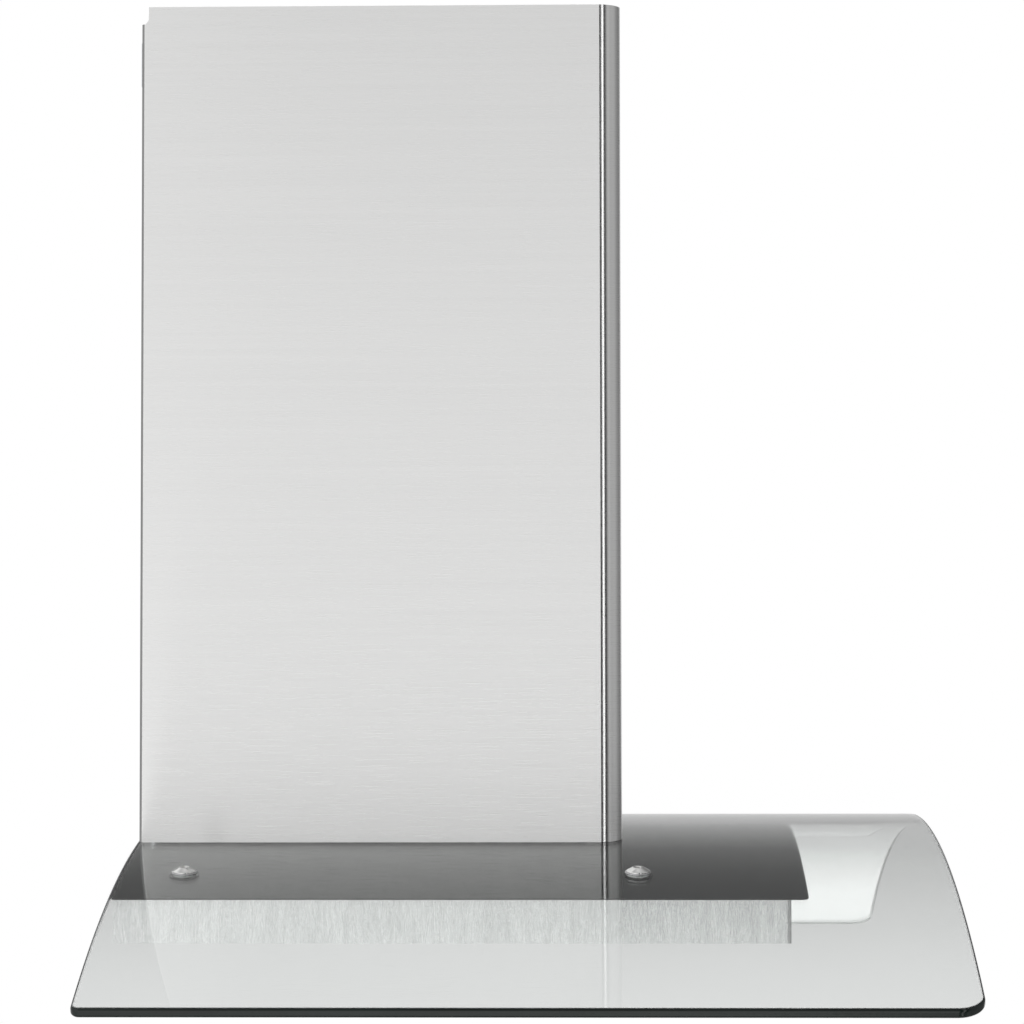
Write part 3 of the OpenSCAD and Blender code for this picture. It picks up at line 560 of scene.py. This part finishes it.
def make_bezel():
    """The bar round the five buttons."""
    low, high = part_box("button_bezel")
    middle_z = (low.z + high.z) / 2
    half_h = (high.z - low.z) / 2
    bore, corner_r, round_r = 7.2 * MM, 4 * MM, 0.4 * MM
    holes = [rounded_rect((x - bore, -bore), (x + bore, bore), bore, bore, hole=True, steps=8)
             for x in BUTTON_XS]
    outer = rounded_rect((low.x, -half_h), (high.x, half_h), corner_r, corner_r)
    bm, normals = bmesh.new(), []
    build_sheet(bm, normals, outer, holes, [], [], on_front(low.y, middle_z), high.y - low.y, round_r,
                lambda row, along_y: 0, steps=3)
    make_piece("button_bar", bm, ["button_bezel"], corner_normals=normals)


# ---- Bent sheets: the two chimneys ----

def arc(centre, r, first, last, steps):
    """Segments of an arc between two angles in degrees: each is (point, normal, point, normal)."""
    found = []
    for k in range(steps + 1):
        a = math.radians(first + (last - first) * k / steps)
        out = Vector((math.cos(a), math.sin(a)))
        found.append((Vector(centre) + out * r, out))
    return [(*found[k], *found[k + 1]) for k in range(steps)]


def straight(start, end, normal, cuts=()):
    """Segments of a straight run, cut at shares of its length."""
    shares = [0, *cuts, 1]
    points = [Vector(start).lerp(Vector(end), t) for t in shares]
    out = Vector(normal)
    return [(points[k], out, points[k + 1], out) for k in range(len(points) - 1)]


def chimney_section(half, rear, front, corner_r, side_cuts, front_count):
    """Segments of a chimney's outer face in plan, from its left rear flange to its right one."""
    edge = math.radians(CREASE)
    r = corner_r * math.sqrt(2) / (2 * math.sin(math.pi / 4 - edge))
    centre = (r * math.cos(edge) - half, front + corner_r + r * math.sin(edge))
    left = straight((FLANGE - half, rear), (BEND_R - half, rear), (0, 1))
    left += arc((BEND_R - half, rear - BEND_R), BEND_R, 90, 180, BEND_STEPS)
    left += straight((-half, rear - BEND_R), (-half, front + corner_r), (-1, 0), side_cuts)
    left += arc(centre, r, 180 + CREASE, 270 - CREASE, CORNER_STEPS)
    flat = [k / front_count for k in range(1, front_count)]
    middle = straight((corner_r - half, front), (half - corner_r, front), (0, -1), flat)

    def flip(v):
        return Vector((-v.x, v.y))
    right = [(flip(b), flip(nb), flip(a), flip(na)) for a, na, b, nb in reversed(left)]
    return left + middle + right


def build_bent_sheet(bm, corner_normals, section, heights, skip):
    """Sweeps a section upwards into a closed sheet. heights(x, y) gives a column's levels,
    and skip(middle, row) says which cells stay open. The skin that turns to the wall has material 1."""
    columns = [s[0] for s in section] + [section[-1][2]]
    outs = [s[1] for s in section] + [section[-1][3]]
    skins = []
    for depth in (0, SHEET_T):
        skin = []
        for point, out in zip(columns, outs):
            p = point - out * depth
            skin.append([bm.verts.new((p.x, p.y, z)) for z in heights(p.x, p.y)])
        skins.append(skin)
    used = []
    for k, (a, na, b, nb) in enumerate(section):
        for row in range(len(skins[0][k]) - 1):
            if skip((a + b) / 2, row):
                continue
            corners = [(k, row), (k + 1, row), (k + 1, row + 1), (k, row + 1)]
            normals = [Vector((*n, 0)) for n in (na, nb, nb, na)]
            kind = 1 if na.y + nb.y > TO_WALL else 0
            new_face(bm, [skins[0][c][r] for c, r in corners], normals, corner_normals, kind)
            new_face(bm, [skins[1][c][r] for c, r in reversed(corners)], [-n for n in reversed(normals)],
                     corner_normals)
            used += zip(corners, corners[1:] + corners[:1])
    shared = set(used)
    for start, end in used:
        if (end, start) not in shared:
            ring = [skins[0][end[0]][end[1]], skins[0][start[0]][start[1]],
                    skins[1][start[0]][start[1]], skins[1][end[0]][end[1]]]
            new_face(bm, ring, None, corner_normals)


def make_lower_chimney():
    """The lower cover stands on the glass. Its rear edges are stepped down at the top."""
    low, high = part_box("lower_chimney")
    gap, front_count = 0.2 * MM, 48
    step_depth, step_height, step_r = 4.3 * MM, 11 * MM, 3 * MM
    step_middle, top_row = 0.65 * MM, 2
    side = high.y - BEND_R - (low.y + CHIMNEY_R)
    cuts = [step_middle / side, (step_depth - BEND_R) / side, 0.5]
    section = chimney_section(high.x, high.y, low.y, CHIMNEY_R, cuts, front_count)
    shelf = high.z - step_height

    def heights(x, y):
        reach = high.y - y
        beyond = min(step_r, max(0.0, reach - (step_depth - step_r)))
        step = shelf + step_r - math.sqrt(step_r**2 - beyond**2)
        bottom = ARCH_Z + math.sqrt((ARCH_R + gap) ** 2 - x**2)
        return [bottom, (bottom + shelf) / 2, step, high.z]

    def skip(middle, row):
        return row == top_row and high.y - middle.y < step_depth

    bm, normals = bmesh.new(), []
    build_bent_sheet(bm, normals, section, heights, skip)
    # The skin turning to the wall gets the painted shade of the bend
    make_piece("lower_chimney_cover", bm, ["lower_chimney"], [SHADED_BEND_STEEL], normals)


def make_upper_chimney():
    """The upper cover slides inside the lower one, and has vents in its sides."""
    low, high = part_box("upper_chimney")
    corner_r, front_count, tolerance = CHIMNEY_R - 2 * MM, 2, 0.1 * MM
    vent_count, vent_w, vent_h, vent_pitch, vent_start = 8, 3.5 * MM, 50 * MM, 14 * MM, 100 * MM
    vent_row = 1
    side = high.y - BEND_R - (low.y + corner_r)
    cuts = []
    for i in range(vent_count):
        middle = vent_start + i * vent_pitch - BEND_R
        cuts += [(middle - vent_w / 2) / side, (middle + vent_w / 2) / side]
    section = chimney_section(high.x, high.y, low.y, corner_r, cuts, front_count)

    def heights(x, y):
        return [low.z, high.z - 2 * vent_h, high.z - vent_h, high.z]

    def skip(middle, row):
        if row != vent_row or abs(middle.x) < high.x - tolerance:
            return False
        nearest = round((high.y - middle.y - vent_start) / vent_pitch)
        off = abs(high.y - middle.y - vent_start - nearest * vent_pitch)
        return 0 <= nearest < vent_count and off < vent_w / 2

    bm, normals = bmesh.new(), []
    build_bent_sheet(bm, normals, section, heights, skip)
    # The skin turning to the wall gets the painted shade of the bend
    make_piece("upper_chimney_cover", bm, ["upper_chimney"], [SHADED_BEND_STEEL], normals)


# ---- Turned pieces ----

def build_lathe(bm, profile, matrix, steps=48, material=0):
    """Turns a profile of (radius, height) in mm, from the top of its axis to the bottom, into a solid."""
    rings = []
    angles = [2 * math.pi * i / steps for i in range(steps)]
    for radius, height in profile:
        r, h = radius * MM, height * MM
        if r == 0:
            rings.append([bm.verts.new(matrix @ Vector((0, 0, h)))])
        else:
            rings.append([bm.verts.new(matrix @ Vector((r * math.cos(a), r * math.sin(a), h)))
                          for a in angles])
    for upper, lower in zip(rings, rings[1:]):
        for i in range(steps):
            k = (i + 1) % steps
            if len(upper) == 1:
                corners = [upper[0], lower[i], lower[k]]
            elif len(lower) == 1:
                corners = [upper[i], lower[0], upper[k]]
            else:
                corners = [upper[i], lower[i], lower[k], upper[k]]
            bm.faces.new(corners).material_index = material


def fixing_places():
    """Matrices at the four glass fixings, z = 0 on the glass and z along its normal."""
    angle = math.asin(FIXING_X / ARCH_R)
    return [Matrix.Translation((0, y, ARCH_Z)) @ Matrix.Rotation(s * angle, 4, "Y")
            @ Matrix.Translation((0, 0, ARCH_R)) for s in (-1, 1) for y in FIXING_YS]


def rounded_corner(centre, r, first, last, steps=4):
    """Profile points on an arc between two angles in degrees, both included."""
    angles = [math.radians(first + (last - first) * k / steps) for k in range(steps + 1)]
    return [(centre[0] + r * math.cos(a), centre[1] + r * math.sin(a)) for a in angles]


def make_caps():
    """Polished screw caps: a dished top, a rounded shoulder and an undercut rim."""
    dish = [(0, 2.85), (1.4, 2.9), (1.9, 3.3)]
    shoulder = rounded_corner((2.9, 2.7), 0.78, 105, 58)
    rim = rounded_corner((6.6, 1.05), 0.38, 58, -60)
    underside = [(6.5, 0.7), (4, 0.7), (4, 1.6), (0, 1.6)]
    bm = bmesh.new()
    for place in fixing_places():
        build_lathe(bm, dish + shoulder + rim + underside, place)
    make_piece("screw_covers", bm, ["screw_caps"])


def make_washers():
    """Washers under the caps, with a rounded outer edge."""
    bore_r, flat_r, edge_r = 3.2, 7.6, 0.3
    edge = rounded_corner((flat_r, edge_r), edge_r, 90, -60, 3)
    bm = bmesh.new()
    for place in fixing_places():
        build_lathe(bm, [(bore_r, 2 * edge_r), *edge, (bore_r, 0), (bore_r, 2 * edge_r)], place)
    make_piece("clear_washers", bm, ["glass_washers"])


def make_lens(side):
    """A lamp's lens, with shallow ring prisms on its lower face."""
    node = "lamp_lens_" + side
    low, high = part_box(node)
    place = Matrix.Translation(((low.x + high.x) / 2, (low.y + high.y) / 2, low.z))
    place = place @ Matrix.Rotation(math.pi, 4, "X")
    radius, thickness = (high.x - low.x) / 2 / MM, (high.z - low.z) / MM
    ring_w, ring_h, riser_w, ribbed_share = 1.7, 0.35, 0.3, 0.86
    count = int(radius * ribbed_share / ring_w)
    profile = [(0, 0)]
    for k in range(1, count):
        profile += [(k * ring_w - riser_w, -ring_h), (k * ring_w, 0)]
    profile += [(count * ring_w, -ring_h), (radius, -ring_h), (radius, -thickness), (0, -thickness)]
    bm = bmesh.new()
    build_lathe(bm, profile, place, steps=72)
    make_piece("ribbed_lens_" + side, bm, [node])


BUTTONS = ("button_off", "button_speed_1", "button_speed_2", "button_speed_3", "button_light")
BUTTON_XS = [(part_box(node)[0].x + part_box(node)[1].x) / 2 for node in BUTTONS]


def button_marks(node):
    """Places of the small dots on a button: a count for a speed, a circle for off, a sun for light."""
    circle_r, pitch = 2.4, 2.0

    def circle(count):
        angles = [math.radians(360 / count * k) for k in range(count)]
        return [(circle_r * math.cos(a), circle_r * math.sin(a)) for a in angles]
    if node == "button_off":
        return circle(12)
    if node == "button_light":
        return [(0, 0)] + circle(6)
    count = int(node[-1])
    return [((k - (count - 1) / 2) * pitch, 0) for k in range(count)]


def make_button(node, x):
    """A dished metal button on its stem, marked with raised dots."""
    low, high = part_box(node)
    middle_z = (low.z + high.z) / 2
    stands_out = 6 * MM
    place = Matrix.Translation((x, low.y + stands_out, middle_z)) @ Matrix.Rotation(math.pi / 2, 4, "X")
    dish = [(0, 5.3), (3, 5.36), (4.8, 5.55)]
    lip = rounded_corner((5.75, 5.4), 0.6, 130, 90, 2) + rounded_corner((6.1, 5.5), 0.5, 80, 0, 3)
    collar = [(6.6, -1.4), (8.4, -1.4), (8.4, -3)]
    stem = [(3.5, -3), (3.5, -11), (0, -11)]
    dot = [(0, 5.62), (0.3, 5.6), (0.45, 5.5), (0.45, 5.2), (0, 5.2)]
    bm = bmesh.new()
    build_lathe(bm, dish + lip + collar + stem, place)
    for dx, dz in button_marks(node):
        shifted = place @ Matrix.Translation((dx * MM, dz * MM, 0))
        build_lathe(bm, dot, shifted, steps=12, material=1)
    make_piece("dished_" + node, bm, [node], [MARK_INK])


# ---- Expanded metal in the filters ----

def make_filter_mesh(side):
    """Two layers of expanded metal, with diamonds that lie crosswise to each other."""
    node = "filter_mesh_" + side
    low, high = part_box(node)
    sheet_t, inset, wave, land_margin = 0.35 * MM, 0.1 * MM, 0.15 * MM, 12 * MM
    long_half, short_half, opening = 8 * MM, 4 * MM, 0.76
    snap, shortest = 0.1 * MM, 0.02 * MM
    ways = ((1, 0), (0, 1), (-1, 0), (0, -1))
    land_low, land_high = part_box("filter_latch_" + side)
    land = (land_low.x - land_margin, land_high.x + land_margin, land_high.y + land_margin)
    bm = bmesh.new()

    def clip(x, y):
        return min(max(x, low.x), high.x), min(max(y, low.y), high.y)

    for z, dx, dy in ((low.z + inset, long_half, short_half),
                      (high.z - inset - sheet_t, short_half, long_half)):
        shared = {}

        def corner(x, y, lift):
            key = (round(x / snap), round(y / snap))
            if key not in shared:
                shared[key] = bm.verts.new((*clip(x, y), z + lift))
            return shared[key]

        for i in range(math.ceil((high.x - low.x) / dx) + 1):
            for j in range(i % 2, math.ceil((high.y - low.y) / dy) + 1, 2):
                x, y = low.x + i * dx, low.y + j * dy
                if land[0] < x < land[1] and y < land[2]:
                    continue
                outer = [corner(x + sx * dx, y + sy * dy, abs(sy) * wave) for sx, sy in ways]
                holes = [clip(x + sx * dx * opening, y + sy * dy * opening) for sx, sy in ways]
                inner = [bm.verts.new((*at, z + inset)) for at in holes]
                for k in range(4):
                    n = (k + 1) % 4
                    bm.faces.new([outer[k], outer[n], inner[n], inner[k]])
    bmesh.ops.dissolve_degenerate(bm, dist=shortest, edges=bm.edges)
    made = make_piece("expanded_mesh_" + side, bm, [node])
    thicken = made.modifiers.new("thicken", "SOLIDIFY")
    thicken.thickness = sheet_t
    thicken.offset = 1


make_glass()
make_plate()
make_bezel()
make_lower_chimney()
make_upper_chimney()
make_caps()
make_washers()
for node, x in zip(BUTTONS, BUTTON_XS):
    make_button(node, x)
for side in ("left", "right"):
    make_lens(side)
    make_filter_mesh(side)


# ---- CAD nodes that stay: finish, broken edges and smooth normals ----

# The wheel's blades are too thin to bevel
NOT_BEVELLED = {"impeller"}
for node, part in frame["nodes"].items():
    if part.hide_render:
        continue
    finish = TRAY_STEEL if node == "bottom_panel" else FINISH[SLOT_OF_NODE[node]]
    part.data.materials.clear()
    part.data.materials.append(finish)
    weld = part.modifiers.new("weld", "WELD")
    weld.merge_threshold = NEARLY_SAME
    if node not in NOT_BEVELLED:
        bevel = part.modifiers.new("bevel", "BEVEL")
        bevel.width = 0.2 * MM
        bevel.segments = 2
        bevel.limit_method = "ANGLE"
        bevel.angle_limit = math.radians(40)
        bevel.use_clamp_overlap = True
    part.modifiers.new("weighted", "WEIGHTED_NORMAL").keep_sharp = True


# ---- Studio: world, floor and camera ----

# Brightness against elevation, on the side that the photo is taken from and on the far side
NEAR_SIDE = [(-90, 1.1), (-50, 1.5), (-10, 1.5), (0, 1.25), (10, 0.8), (20, 0.5), (30, 0.27), (60, 0.32),
             (90, 0.7)]
FAR_SIDE = [(-90, 1.1), (-60, 2.3), (-35, 2.4), (-20, 1.45), (-10, 1.1), (-4.5, 0.82), (-1.5, 0.82),
            (0, 0.75), (7, 0.55), (14, 0.385), (21, 0.22), (27, 0.17), (31, 0.16), (38, 0.2), (45, 0.32),
            (60, 0.5), (90, 0.6)]
# Brightness of the uprights against the angle from -X towards the room
UPRIGHTS = [(-180, 0.7), (-150, 0.85), (-66, 0.85), (-58, 1.2), (-12, 1.2), (-9.5, 1.0), (8, 1.0),
            (9.5, 0.01), (23.5, 0.0), (25, 2.1), (31, 2.1), (33, 0.0), (43.5, 0.0), (47, 0.38), (52, 0.47),
            (57, 0.62), (63, 0.52), (73, 0.48), (84, 0.5), (96, 0.5), (109, 0.35), (118, 0.3), (129, 0.25),
            (142, 0.19), (150, 0.25), (180, 0.6)]
# How far the uprights replace the soft light: against that angle, and against elevation
UPRIGHTS_SHARE = [(-180, 0), (-150, 0), (-140, 1), (-12, 1), (-9.5, 0), (8, 0), (9.5, 1), (142, 1),
                  (150, 0), (180, 0)]
UPRIGHTS_HEIGHT = [(-90, 0), (-70, 0), (-50, 1), (50, 1), (70, 0), (90, 0)]


def ramp(tree, value, low, high, stops):
    """A curve through stops of (value, brightness), for a value from low to high."""
    position = add(tree, "MapRange", {"Value": value, "From Min": low, "From Max": high}).outputs["Result"]
    node = add(tree, "FloatCurve", {"Value": position})
    curve = node.mapping.curves[0]
    highest = max(s[1] for s in stops)
    for k, (at, brightness) in enumerate(stops):
        place = ((at - low) / (high - low), brightness / highest)
        if k in (0, len(stops) - 1):
            point = curve.points[0 if k == 0 else len(curve.points) - 1]
            point.location = place
        else:
            point = curve.points.new(*place)
        point.handle_type = "VECTOR"
    node.mapping.update()
    return combine(tree, "MULTIPLY", node.outputs[0], highest)


def build_world():
    """Soft light from all round, as a white studio gives it, with darker and brighter uprights that the
    chimney's corners mirror. The camera itself sees plain white."""
    world = bpy.data.worlds.new("studio")
    bpy.context.scene.world = world
    world.use_nodes = True
    tree = world.node_tree
    towards = add(tree, "TexCoord").outputs["Generated"]
    axes = add(tree, "SeparateXYZ", {"Vector": towards})
    x, y, z = axes.outputs
    height = combine(tree, "MULTIPLY", combine(tree, "ARCSINE", z, 0), 180 / math.pi)
    backwards = combine(tree, "MULTIPLY", y, -1)
    round_z = combine(tree, "ARCTAN2", backwards, combine(tree, "MULTIPLY", x, -1))
    turn = combine(tree, "MULTIPLY", round_z, 180 / math.pi)

    near = ramp(tree, height, -90, 90, NEAR_SIDE)
    far = ramp(tree, height, -90, 90, FAR_SIDE)
    near_to, far_from = -0.2, 0.6
    share = add(tree, "MapRange", {"Value": x, "From Min": near_to, "From Max": far_from},
                interpolation_type="SMOOTHSTEP").outputs["Result"]
    soft = add(tree, "Mix", {0: share, 2: near, 3: far}).outputs[0]
    uprights = ramp(tree, turn, -180, 180, UPRIGHTS)
    in_range = ramp(tree, turn, -180, 180, UPRIGHTS_SHARE)
    low_down = ramp(tree, height, -90, 90, UPRIGHTS_HEIGHT)
    weight = combine(tree, "MULTIPLY", in_range, low_down)
    light = add(tree, "Mix", {0: weight, 2: soft, 3: uprights}).outputs[0]
    seen = add(tree, "LightPath").outputs["Is Camera Ray"]
    shown = add(tree, "Mix", {0: seen, 2: light, 3: 1.0}).outputs[0]
    background = tree.nodes["Background"]
    tree.links.new(shown, background.inputs["Strength"])
    background.inputs["Color"].default_value = (1, 1, 1, 1)


def build_floor():
    """A plain pale floor, well below the hood."""
    half, level = 2.0, -2.5
    dark, light = (0.86, 0.86, 0.86), (0.9, 0.9, 0.9)
    material, tree, shader = new_material("floor", Roughness=0.6)
    tone = spread(tree, noise(tree, (6, 6, 6)), 0, 1)
    tree.links.new(mix_colours(tree, tone, dark, light), shader.inputs["Base Color"])
    mesh = bpy.data.meshes.new("floor")
    corners = [(-half, -half, level), (half, -half, level), (half, half, level), (-half, half, level)]
    mesh.from_pydata(corners, [], [(0, 1, 2, 3)])
    mesh.materials.append(material)
    floor = bpy.data.objects.new("floor", mesh)
    bpy.context.scene.collection.objects.link(floor)


def build_camera():
    """The camera that took the photo: level with the hood, on its left, looking along the wall."""
    data = bpy.data.cameras.new("camera")
    data.sensor_width = 36
    data.lens = 129.86
    camera = bpy.data.objects.new("camera", data)
    bpy.context.scene.collection.objects.link(camera)
    position = (-2.4709, -0.2956, -0.087)
    yaw, pitch, roll = 0.026, 0.0502, -0.0014
    forward = Vector((math.cos(pitch) * math.cos(yaw), math.cos(pitch) * math.sin(yaw), math.sin(pitch)))
    level = Vector((math.sin(yaw), -math.cos(yaw), 0))
    upright = level.cross(forward)
    right = level * math.cos(roll) + upright * math.sin(roll)
    up = upright * math.cos(roll) - level * math.sin(roll)
    turn = Matrix((right, up, -forward)).transposed().to_4x4()
    camera.matrix_world = Matrix.Translation(position) @ turn
    bpy.context.scene.camera = camera


build_world()
build_floor()
build_camera()
bpy.context.scene.view_settings.view_transform = "Standard"
